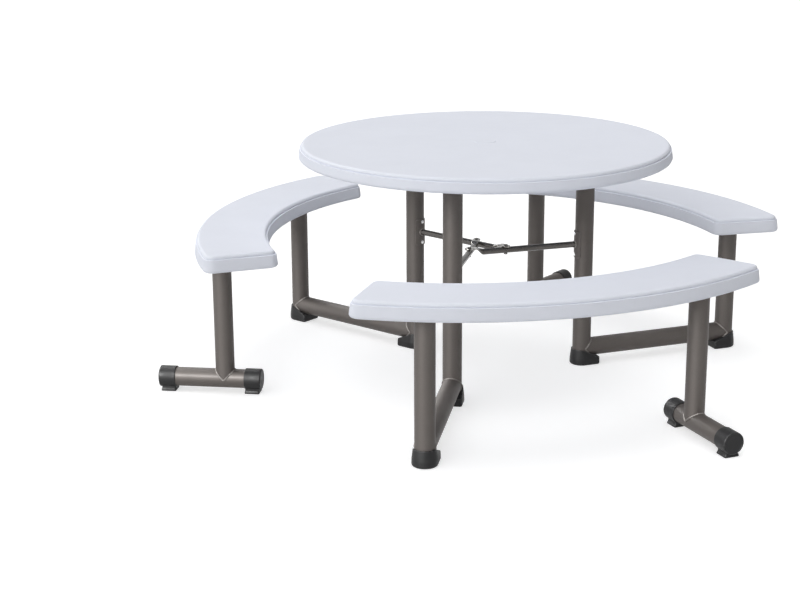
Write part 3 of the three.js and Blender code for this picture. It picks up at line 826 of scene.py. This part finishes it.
def foot_cap():
    """A cap in its own frame: the tube comes along +X and ends at the origin."""
    radius = TUBE_RADIUS + CAP_WALL
    bore = TUBE_RADIUS + SEAT_GAP
    face = radius - CAP_RIM
    floor = CAP_END - CAP_RECESS
    sleeve = turned(close_set(rounded([
        (0, floor, 0), (face - CAP_RECESS, floor, CAP_RECESS_ROUND), (face, CAP_END, CAP_RIM_ROUND),
        (radius, CAP_END - CAP_RIM_FALL, CAP_ROUND), (radius, -CAP_SLEEVE, CAP_MOUTH_ROUND),
        (bore, -CAP_SLEEVE, CAP_BORE_ROUND), (bore, SEAT_GAP, 0), (0, SEAT_GAP, 0),
    ])), TUBE_SIDES)
    sleeve.transform(Matrix.Rotation(math.pi / 2, 4, "Y"))
    rings = []
    for half_width, z in rounded(PAD_FLANK, steps=4):
        spread = half_width - PAD_NECK / 2
        outline = rounded_rectangle(PAD_LENGTH + spread, 2 * half_width, PAD_CORNER)
        rings.append([Vector((x - CAP_SLEEVE / 2, y, z - foot_height)) for x, y in outline])
    clear = rod(Vector((-2 * CAP_SLEEVE, 0, 0)), Vector((SEAT_GAP, 0, 0)), bore)
    return carved(sleeve, [clear], joined=[skin(rings, capped=True)], bevel=CAP_SOFT)


for words, end, heading in (
    ("foot_cap_outer", foot_ends[1], foot_along), ("foot_cap_inner", foot_ends[0], -foot_along),
):
    in_sectors(words, foot_cap(), "foot_plastic", swings=True, at=set_at(end, heading))

# %% [markdown]
# The brace ties the three table legs together. Each brace tube starts on a bent saddle that is riveted to
# its leg, and its far end is pressed flat into a tongue that is bolted on the next tube. The tube is a
# row of rings that change from a circle to a flat slot, which is what the press does to it. The tongue
# brings its own edge value, which paints it pale: a painted highlight on its flat faces.

# %% Brace
BRACE_RADIUS = 0.0095
BRACE_OFFSET = 0.034
BRACE_STEPS = 64
TONGUE_WIDTH = 0.025
TONGUE_THICKNESS = 0.0046
TONGUE_TIP = 0.014
TONGUE_NECK = 0.018
TONGUE_TAPER = 0.028
TAPER_STEPS = 16
TIP_STEPS = 12
TIP_END = 0.97
SADDLE_HEIGHT = 0.084
SADDLE_THICKNESS = 0.0025
SADDLE_HALF_ANGLE = math.radians(46)
SADDLE_CORNER = 0.008
SADDLE_STEPS = 24
SADDLE_SOFT = 0.0007
brace_height = middle("brace_saddle_1").z
leg_reach = table_leg.length
brace_turn = math.atan2(table_leg.y, table_leg.x) + math.asin(BRACE_OFFSET / leg_reach)
brace_frame = Matrix.Rotation(brace_turn, 4, "Z")
brace_leg = Vector((math.sqrt(leg_reach ** 2 - BRACE_OFFSET ** 2), -BRACE_OFFSET, 0))
crossing = BRACE_OFFSET * math.tan(math.pi / len(SECTORS))
saddle_radius = TUBE_RADIUS + SEAT_GAP + SADDLE_THICKNESS
tongue_middle = brace_height + BRACE_RADIUS + SEAT_GAP + TONGUE_THICKNESS / 2


def ease(value):
    value = min(max(value, 0), 1)
    return value * value * (3 - 2 * value)


def brace_ring(x, width, depth, z, flat):
    """A section of the tube, from a circle where flat is 0 to a slot where it is 1."""
    points = []
    for angle in angles(BRACE_STEPS):
        rise = min(max((1 + flat) * math.sin(angle), -1), 1)
        points.append(Vector((x, width / 2 * math.cos(angle) - BRACE_OFFSET, z + depth / 2 * rise)))
    return points


def brace_tube():
    across = 2 * BRACE_RADIUS
    start = brace_ring(0, across, across, brace_height, 0)
    for point in start:
        point.x = brace_leg.x - math.sqrt(saddle_radius ** 2 - (point.y + BRACE_OFFSET) ** 2)
    rings = [start, [point - Vector((END_BAND, 0, 0)) for point in start]]
    neck = TONGUE_NECK - crossing
    for step in range(TAPER_STEPS + 1):
        share = ease(step / TAPER_STEPS)
        x = neck + TONGUE_TAPER * (1 - step / TAPER_STEPS)
        width = across + (TONGUE_WIDTH - across) * share
        depth = across + (TONGUE_THICKNESS - across) * share
        z = brace_height + (tongue_middle - brace_height) * share
        rings.append(brace_ring(x, width, depth, z, share))
    for step in range(TIP_STEPS + 1):
        angle = math.pi / 2 * min(step / TIP_STEPS, TIP_END)
        x = -crossing - TONGUE_TIP * math.sin(angle)
        rings.append(brace_ring(x, TONGUE_WIDTH * math.cos(angle), TONGUE_THICKNESS, tongue_middle, 1))
    shape = skin(rings, capped=True)
    # The tongue's value paints it pale: a painted highlight on the pressed flat.
    tongue_highlight = shape.verts.layers.float.new("edge")
    for vert in shape.verts:
        vert[tongue_highlight] = ease((neck + TONGUE_TAPER / 2 - vert.co.x) / TONGUE_TAPER * 2)
    return shape


def brace_saddle():
    rings = []
    for step in range(-SADDLE_STEPS, SADDLE_STEPS + 1):
        angle = SADDLE_HALF_ANGLE * step / SADDLE_STEPS
        past = max((abs(angle) - SADDLE_HALF_ANGLE) * saddle_radius + SADDLE_CORNER, 0)
        half = SADDLE_HEIGHT / 2 - SADDLE_CORNER + math.sqrt(max(SADDLE_CORNER ** 2 - past ** 2, 0))
        outside, inside = (brace_leg + polar(saddle_radius - depth, math.pi + angle)
                           for depth in (0, SADDLE_THICKNESS))
        rises = (-half, END_BAND - half, half - END_BAND, half)
        rings.append([raised(outside, brace_height + rise) for rise in rises]
                     + [raised(inside, brace_height + rise) for rise in (half, -half)])
    return carved(skin(rings, capped=True), [], bevel=SADDLE_SOFT)


in_sectors("brace_tube", brace_tube(), "brace_paint", at=brace_frame)
in_sectors("brace_saddle", brace_saddle(), "frame_paint", at=brace_frame)

# %% [markdown]
# Under each moulded part a plate spreads the load, and the pivot has a post that turns in a flanged
# sleeve. They are mostly hidden, and still plain work for the same helpers: plates are skinned over a
# rounded rectangle with soft edges, and the turned parts come off the lathe helper.

# %% Plates, posts and bushings
PLATE_LENGTH = 0.124
PLATE_WIDTH = 0.0861
TOP_PLATE_SIDE = 0.116
PLATE_CORNER = 0.014
PLATE_SOFT = 0.0008
PLATE_HOLE_INSET = 0.013
POST_RADIUS = 0.023
POST_WALL = 0.003
POST_LOWER_ROUND = 0.0008
POST_UPPER_ROUND = 0.0004
BUSHING_ROUND = 0.001
BUSHING_BORE_ROUND = 0.0008
FLANGE_ROUNDS = (0.0006, 0.0012)
RUNNING_CLEARANCE = 0.0004


def plate(length, width, low, high):
    rings = []
    band = PLATE_SOFT + END_BAND
    for inset, z in ((band, low), (PLATE_SOFT, low), (0, low + PLATE_SOFT),
                     (0, high - PLATE_SOFT), (PLATE_SOFT, high), (band, high)):
        outline = rounded_rectangle(length - 2 * inset, width - 2 * inset, PLATE_CORNER - inset)
        rings.append([Vector((x, y, z)) for x, y in outline])
    return skin(rings, capped=True)


def seat_tangent(place):
    """The move that lays a plate along the seat at one of its legs."""
    out = place - seat_centre
    return set_at(place, Vector((-out.y, out.x, 0)))


def turned_sleeve(corners):
    return turned(close_set(rounded(corners, steps=3)), TUBE_SIDES, wrap=True)


top_plate = (TOP_PLATE_SIDE, TOP_PLATE_SIDE, *heights("table_leg_plate_1"))
bench_plate = (PLATE_LENGTH, PLATE_WIDTH, *heights("pivot_plate_1"))
plates = {
    "table_leg_plate": (Matrix.Translation(table_leg), *top_plate),
    "pivot_plate": (seat_tangent(pivot_leg), *bench_plate),
    "free_leg_plate": (seat_tangent(free_leg), *bench_plate),
}
for words, (place, *sizes) in plates.items():
    in_sectors(words, plate(*sizes), "frame_paint", swings=words != "table_leg_plate", at=place)

at_pivot = Matrix.Translation(pivot_leg)
low, high = heights("pivot_post_1")
bore = POST_RADIUS - POST_WALL
post = turned_sleeve([
    (POST_RADIUS, low, POST_LOWER_ROUND), (POST_RADIUS, high, POST_UPPER_ROUND),
    (bore, high, POST_UPPER_ROUND), (bore, low, POST_LOWER_ROUND),
])
in_sectors("pivot_post", post, "bare_steel", swings=True, at=at_pivot)

low, high = heights("pivot_bushing_1")
outside = TUBE_RADIUS - TUBE_WALL - SEAT_GAP
flange = pivot_high + SEAT_GAP
bore = POST_RADIUS + RUNNING_CLEARANCE
bushing = turned_sleeve([
    (outside, low, BUSHING_ROUND), (outside, flange, 0), (TUBE_RADIUS, flange, FLANGE_ROUNDS[0]),
    (TUBE_RADIUS, high, FLANGE_ROUNDS[1]), (bore, high, BUSHING_BORE_ROUND), (bore, low, BUSHING_BORE_ROUND),
])
in_sectors("pivot_bushing", bushing, "bushing_plastic", at=at_pivot)

# %% [markdown]
# Rivets, screws, bolts and nuts repeat, so Geometry Nodes set them out. The tree takes points that carry a
# facing direction, puts a head on each one and turns it that way. The inputs give the head's real width and
# height.

# %% Fastener tree
def node_tree(name, **inputs):
    """A tree with geometry in and out and more inputs, and the inputs' identifiers by name."""
    tree = bpy.data.node_groups.new(name, "GeometryNodeTree")
    tree.interface.new_socket(name="Geometry", in_out="OUTPUT", socket_type="NodeSocketGeometry")
    names = {}
    for title, kind in {"Geometry": "Geometry", **inputs}.items():
        socket = tree.interface.new_socket(name=title, in_out="INPUT", socket_type="NodeSocket" + kind)
        names[title] = socket.identifier
    return tree, names, add(tree, "NodeGroupInput").outputs, add(tree, "NodeGroupOutput")


def coat_and_put_out(tree, geometry, given, out):
    real = add(tree, "GeometryNodeRealizeInstances", {"Geometry": geometry})
    coated = add(tree, "GeometryNodeSetMaterial", {"Geometry": real.outputs[0], "Material": given["Finish"]})
    wire(out, {"Geometry": coated.outputs[0]})


def fastener_tree():
    tree, names, given, out = node_tree("fasteners", Head="Object", Width="Float", Height="Float",
                                        Finish="Material")
    facing = add(tree, "GeometryNodeInputNamedAttribute", {"Name": "facing"}, data_type="FLOAT_VECTOR")
    turn = add(tree, "FunctionNodeAlignRotationToVector", {"Vector": facing.outputs["Attribute"]}, axis="Z")
    size = add(tree, "ShaderNodeCombineXYZ", {"X": given["Width"], "Y": given["Width"], "Z": given["Height"]})
    head = add(tree, "GeometryNodeObjectInfo", {"Object": given["Head"]})
    placed = add(tree, "GeometryNodeInstanceOnPoints", {
        "Points": given["Geometry"], "Instance": head.outputs["Geometry"],
        "Rotation": turn.outputs["Rotation"], "Scale": size.outputs[0],
    })
    coat_and_put_out(tree, placed.outputs[0], given, out)
    return tree, names


def grown(name, source, tree, names, values):
    """The bmesh that a node tree makes from a source mesh, with its inputs set by identifier."""
    obj = new_object(name, source)
    modifier = obj.modifiers.new("nodes", "NODES")
    modifier.node_group = tree
    for title, value in values.items():
        modifier[names[title]] = value
    shape = baked(obj)
    bpy.data.meshes.remove(source)
    return shape


def line_mesh(name, points, edges=()):
    mesh = bpy.data.meshes.new(name)
    mesh.from_pydata(points, edges, [])
    return mesh


def fasten(words, places, shape, width, height, finish, body, *nodes):
    """Puts a head at each place, which is a point and the direction that the head faces."""
    points, directions = zip(*places)
    source = line_mesh(words, points)
    facing = source.attributes.new("facing", "FLOAT_VECTOR", "POINT")
    facing.data.foreach_set("vector", [value for direction in directions for value in direction])
    head = loose_object(words + "_head", shape)
    values = {"Head": head, "Width": width, "Height": height, "Finish": materials[finish]}
    heads = grown(words, source, *fasteners, values)
    bpy.data.objects.remove(head)
    piece(words, heads, finish, body, *nodes, slot="bare_steel")


fasteners = fastener_tree()

# %% [markdown]
# The heads of rivets and screws are turned at a size of one, and a boolean cuts the cross of the screws.
# Bolts and nuts are six-sided, with their corners cut by a cone, and are drawn at their real size.

# %% Rivets, screws, bolts and nuts
RIVET_WIDTH = 0.0105
RIVET_HEIGHT = 0.0034
RIVET_SPREAD = 0.033
DOME = [(0, 1.0, 0), (0.30, 0.93, 0.3), (0.5, 0.32, 0.12), (0.5, 0, 0), (0, 0, 0)]
DOME_SIDES = 28
SCREW_WIDTH = 0.0125
SCREW_HEIGHT = 0.0042
PAN = [(0, 1.0, 0), (0.34, 0.98, 0.5), (0.5, 0.55, 0.2), (0.5, 0, 0), (0, 0, 0)]
PAN_SIDES = 32
CROSS_LENGTH = 0.26
CROSS_WIDTH = 0.07
CROSS_RISE = (0.45, 1.5)
HEX_SIDES = 6
HEX_STEPS = 48
HEX_CHAMFERS = (0.06, 0.08)
BOLT_RADIUS = 0.004
BOLT_ACROSS = 0.0100
BOLT_HEAD = 0.0026
BOLT_CROWN = 0.4
BOLT_CHAMFER = 0.001
BOLT_TIP = 0.0005
NUT_HEIGHT = 0.0038


def screw_head():
    """A pan head with a cross recess, at a size of one."""
    slots = []
    for x, y in ((CROSS_LENGTH, CROSS_WIDTH), (CROSS_WIDTH, CROSS_LENGTH)):
        corners = [(-x, -y), (x, -y), (x, y), (-x, y)]
        slots.append(skin([[Vector((*corner, z)) for corner in corners] for z in CROSS_RISE], capped=True))
    return carved(turned(rounded(PAN, steps=4), PAN_SIDES), slots)


def hex_ring(limit, z):
    """Six sides at the bolt's width, with the corners cut at a radius."""
    points = []
    side = FULL_TURN / HEX_SIDES
    for angle in angles(HEX_STEPS):
        reach = math.cos(side / 2) / math.cos((angle % side) - side / 2)
        points.append(polar(min(BOLT_ACROSS / math.sqrt(3) * reach, limit), angle, z))
    return points


def hex_rings(low, high, low_limit):
    full = BOLT_ACROSS / math.sqrt(3)
    lower, upper = (share * BOLT_ACROSS for share in HEX_CHAMFERS)
    return [hex_ring(low_limit, low), hex_ring(full, low + lower), hex_ring(full, high - upper),
            hex_ring(BOLT_ACROSS / 2, high)]


def bolt_shape():
    """A bolt that stands on its head's underside at the origin, with its shank below."""
    end = -(BRACE_RADIUS * 2 + TONGUE_THICKNESS + NUT_HEIGHT + BOLT_TIP)
    stem = [(0, end), (BOLT_RADIUS - BOLT_CHAMFER, end), (BOLT_RADIUS, end + BOLT_CHAMFER), (BOLT_RADIUS, 0)]
    crown = [(BOLT_ACROSS * BOLT_CROWN, BOLT_HEAD), (0, BOLT_HEAD)]
    lower, upper = ([ring(radius, z, HEX_STEPS) for radius, z in part] for part in (stem, crown))
    return skin(lower + hex_rings(0, BOLT_HEAD, BOLT_ACROSS / math.sqrt(3)) + upper)


def nut_shape():
    bore = [ring(BOLT_RADIUS, z, HEX_STEPS) for z in (0, -NUT_HEIGHT)]
    return skin(hex_rings(-NUT_HEIGHT, 0, BOLT_ACROSS / 2) + bore, wrap=True)


rivets = []
for number in SECTORS:
    turn = sector_frames[number] @ brace_frame
    for side in (-1, 1):
        place = brace_leg + Vector((-saddle_radius, 0, brace_height + side * RIVET_SPREAD))
        rivets.append((turn @ place, turn.to_3x3() @ Vector((-1, 0, 0))))
dome = turned(rounded(DOME, steps=4), DOME_SIDES)
fasten("saddle_rivets", rivets, dome, RIVET_WIDTH, RIVET_HEIGHT, "bare_steel", "table_frame")

pan = screw_head()
for body, numbers in CARRIERS:
    screws = []
    for words, (place, length, width, low, high) in plates.items():
        if (words == "table_leg_plate") != (body == "table_frame"):
            continue
        x, y = length / 2 - PLATE_HOLE_INSET, width / 2 - PLATE_HOLE_INSET
        for number in numbers:
            for corner in ((x, y), (-x, y), (-x, -y), (x, -y)):
                screws.append((sector_frames[number] @ place @ Vector((*corner, low)), -up))
    fasten(f"plate_screws_{body}", screws, pan.copy(), SCREW_WIDTH, SCREW_HEIGHT, "bare_steel", body)

for words, z, shape in (
    ("brace_bolt", tongue_middle + TONGUE_THICKNESS / 2 + SEAT_GAP, bolt_shape()),
    ("brace_nut", brace_height - BRACE_RADIUS - SEAT_GAP, nut_shape()),
):
    place = brace_frame @ Vector((-crossing, -BRACE_OFFSET, z))
    places = [(sector_frames[number] @ place, up) for number in SECTORS]
    nodes = [f"{words}_{number}" for number in SECTORS]
    fasten(f"{words}s_look", places, shape, 1.0, 1.0, "dark_bolts", "table_frame", *nodes)

# %% [markdown]
# A weld is a bead that follows the joint of two tubes, with a ripple for each step of the torch. The joint
# is drawn as a closed line of points. A second node tree turns it into a curve, swells and shrinks its
# radius along its length with a sine, and sweeps a circle along it.

# %% Welds
BEAD_RADIUS = 0.0025
BEAD_PITCH = 0.0045
BEAD_RIPPLE = 0.16
BEAD_SIDES = 10
STEPS_PER_PITCH = 6.0
JOINT_POINTS = 96


def weld_tree():
    tree, names, given, out = node_tree("weld_beads", Radius="Float", Pitch="Float", Ripple="Float",
                                        Finish="Material")
    curve = add(tree, "GeometryNodeMeshToCurve", {"Mesh": given["Geometry"]})
    step = math_node(tree, "DIVIDE", given["Pitch"], STEPS_PER_PITCH)
    even = add(tree, "GeometryNodeResampleCurve", {"Curve": curve.outputs[0], "Length": step}, mode="LENGTH")
    along = add(tree, "GeometryNodeSplineParameter").outputs["Length"]
    phase = math_node(tree, "MULTIPLY", math_node(tree, "DIVIDE", along, given["Pitch"]), FULL_TURN)
    wave = math_node(tree, "MULTIPLY", math_node(tree, "SINE", phase), given["Ripple"])
    radius = math_node(tree, "MULTIPLY", math_node(tree, "ADD", wave, 1.0), given["Radius"])
    sized = add(tree, "GeometryNodeSetCurveRadius", {"Curve": even.outputs[0], "Radius": radius})
    section = add(tree, "GeometryNodeCurvePrimitiveCircle", {"Resolution": BEAD_SIDES, "Radius": 1.0})
    bead = add(tree, "GeometryNodeCurveToMesh",
               {"Curve": sized.outputs[0], "Profile Curve": section.outputs[0]})
    if "Scale" in bead.inputs:
        wire(bead, {"Scale": radius})
    coat_and_put_out(tree, bead.outputs[0], given, out)
    return tree, names


def joint_line(start, along, radius, rule):
    """The closed line where a tube that starts on another tube's axis leaves its surface."""
    return [start + across + along * rule(across) for across in circle(along, radius, JOINT_POINTS)]


def saddle_rule(across):
    return math.sqrt(max(saddle_radius ** 2 - across.y ** 2, 0))


welds = weld_tree()
brace_line = joint_line(raised(brace_leg, brace_height), Vector((-1, 0, 0)), BRACE_RADIUS, saddle_rule)
fixed_lines = [
    joint_line(floor_ends[0], run, TUBE_RADIUS, upright),
    joint_line(floor_ends[1], -run, TUBE_RADIUS, upright),
    [brace_frame @ point for point in brace_line],
    joint_line(raised(table_leg, leg_high), up, TUBE_RADIUS, flat_end),
]
bench_lines = [
    joint_line(foot_middle, up, TUBE_RADIUS, notch(foot_along)),
    joint_line(raised(free_leg, bench_tube_high), up, TUBE_RADIUS, flat_end),
]
# The beads take the paler weld coat, a painted highlight along each bead.
values = {"Radius": BEAD_RADIUS, "Pitch": BEAD_PITCH, "Ripple": BEAD_RIPPLE,
          "Finish": materials["weld_highlight_paint"]}
for body, numbers in CARRIERS:
    words = f"weld_beads_{body}"
    points, edges = [], []
    for number in numbers:
        for line in fixed_lines if body == "table_frame" else bench_lines:
            first = len(points)
            points += [sector_frames[number] @ point for point in line]
            edges += [(first + i, first + (i + 1) % len(line)) for i in range(len(line))]
    beads = grown(words, line_mesh(words, points, edges), *welds, values)
    piece(words, beads, "weld_highlight_paint", body, slot="frame_paint")

# %% [markdown]
# The stage is a white sweep under a round soft box. The rest of the light is a soft sky, brighter on the
# left than on the right, with a low broad key from the left. Two more lamps, in the key's place and far
# behind, reach only reflections: they draw the bright line along a painted tube. For the camera the
# background is plain white, and reflections see it white too. The floor glows for the camera and takes the
# rest of its brightness from the light, so it still shows the shadow.

# %% Floor, light and camera
FLOOR_SIZE = 40.0
FLOOR_GLOW = 0.62
FLOOR_TONE = 0.64
FLOOR_BOUNCE = 0.80
SKY_LEVEL = 0.44
SOFT_BOX = 2.4
SOFT_BOX_EDGE = (math.cos(math.radians(30)), math.cos(math.radians(16)))
SKY_LEAN = 0.54
SKY_TOWARDS = Vector((-0.90, -0.45, 0.0))
LAMP_SPREAD = math.radians(30)
KEY_FROM = Vector((-0.52, -0.72, 0.46))
KEY_LEVEL = 0.30
KEY_GLEAM = 9.0
BACK_FROM = Vector((-0.56, 0.64, 0.52))
BACK_GLEAM = 5.0
LENS = 74.55
CAMERA_AIM = Vector((table_axis.x - 0.2579, table_axis.y, 0.2266))
CAMERA_DISTANCE = 5.126
CAMERA_ELEVATION = math.radians(16.02)
CAMERA_ROLL = math.radians(-0.32)


def floor_finish():
    """A floor that the camera and reflections see glowing, and that sends plain light to the rest."""
    tree = new_material("floor_white")
    tree.nodes.remove(tree.nodes["Principled BSDF"])
    ray = add(tree, "ShaderNodeLightPath").outputs
    mirrored = math_node(tree, "MAXIMUM", ray["Is Glossy Ray"], ray["Is Transmission Ray"])
    seen = math_node(tree, "MAXIMUM", ray["Is Camera Ray"], mirrored)
    bounce = add(tree, "ShaderNodeBsdfDiffuse", {"Color": (FLOOR_BOUNCE,) * 3 + (1,)})
    tone = add(tree, "ShaderNodeBsdfDiffuse", {"Color": (FLOOR_TONE,) * 3 + (1,)})
    glow = add(tree, "ShaderNodeEmission", {"Strength": FLOOR_GLOW})
    shown = add(tree, "ShaderNodeAddShader", {0: tone.outputs[0], 1: glow.outputs[0]})
    both = add(tree, "ShaderNodeMixShader", {0: seen, 1: bounce.outputs[0], 2: shown.outputs[0]})
    wire(tree.nodes["Material Output"], {"Surface": both.outputs[0]})


def make_floor():
    shape = bmesh.new()
    bmesh.ops.create_grid(shape, x_segments=4, y_segments=4, size=FLOOR_SIZE / 2)
    floor = new_object("floor", new_mesh("floor", shape))
    floor.data.materials.append(materials["floor_white"])


def make_sky():
    world = bpy.data.worlds.new("studio")
    world.use_nodes = True
    tree = world.node_tree
    towards = add(tree, "ShaderNodeTexCoord").outputs["Generated"]
    rise = add(tree, "ShaderNodeSeparateXYZ", {0: towards}).outputs["Z"]
    overhead = between(tree, rise, *SOFT_BOX_EDGE, 0.0, SOFT_BOX)
    lean = add(tree, "ShaderNodeVectorMath", {0: towards, 1: SKY_TOWARDS}, operation="DOT_PRODUCT")
    sideways = math_node(tree, "MULTIPLY", lean.outputs["Value"], SKY_LEAN)
    ray = add(tree, "ShaderNodeLightPath").outputs
    base = between(tree, ray["Is Glossy Ray"], 0.0, 1.0, SKY_LEVEL, 1.0)
    soft = math_node(tree, "ADD", overhead, sideways)
    lit = math_node(tree, "MAXIMUM", math_node(tree, "ADD", soft, base), 0.0)
    plain = math_node(tree, "MAXIMUM", ray["Is Camera Ray"], ray["Is Transmission Ray"])
    level = add(tree, "ShaderNodeMix", {0: plain, 2: lit, 3: 1.0}).outputs[0]
    wire(tree.nodes["Background"], {"Color": (1, 1, 1, 1), "Strength": level})
    bpy.context.scene.world = world


def make_lamp(name, level, towards):
    lamp = bpy.data.lights.new(name, "SUN")
    lamp.energy = level
    lamp.angle = LAMP_SPREAD
    obj = new_object(name, lamp)
    obj.rotation_euler = towards.to_track_quat("Z", "Y").to_euler()
    return obj


def make_camera():
    camera = new_object("camera", bpy.data.cameras.new("camera"))
    camera.data.lens = LENS
    tilt = Matrix.Rotation(math.pi / 2 - CAMERA_ELEVATION, 4, "X") @ Matrix.Rotation(CAMERA_ROLL, 4, "Z")
    back = Matrix.Translation((0, 0, CAMERA_DISTANCE))
    camera.matrix_world = Matrix.Translation(CAMERA_AIM) @ tilt @ back
    bpy.context.scene.camera = camera


floor_finish()
make_floor()
make_sky()
make_lamp("key", KEY_LEVEL, KEY_FROM)
make_lamp("key_gleam", KEY_GLEAM, KEY_FROM).visible_diffuse = False
make_lamp("back_gleam", BACK_GLEAM, BACK_FROM).visible_diffuse = False
make_camera()
bpy.context.scene.view_settings.view_transform = "Standard"
print("camera at", [round(value, 3) for value in bpy.context.scene.camera.matrix_world.translation])
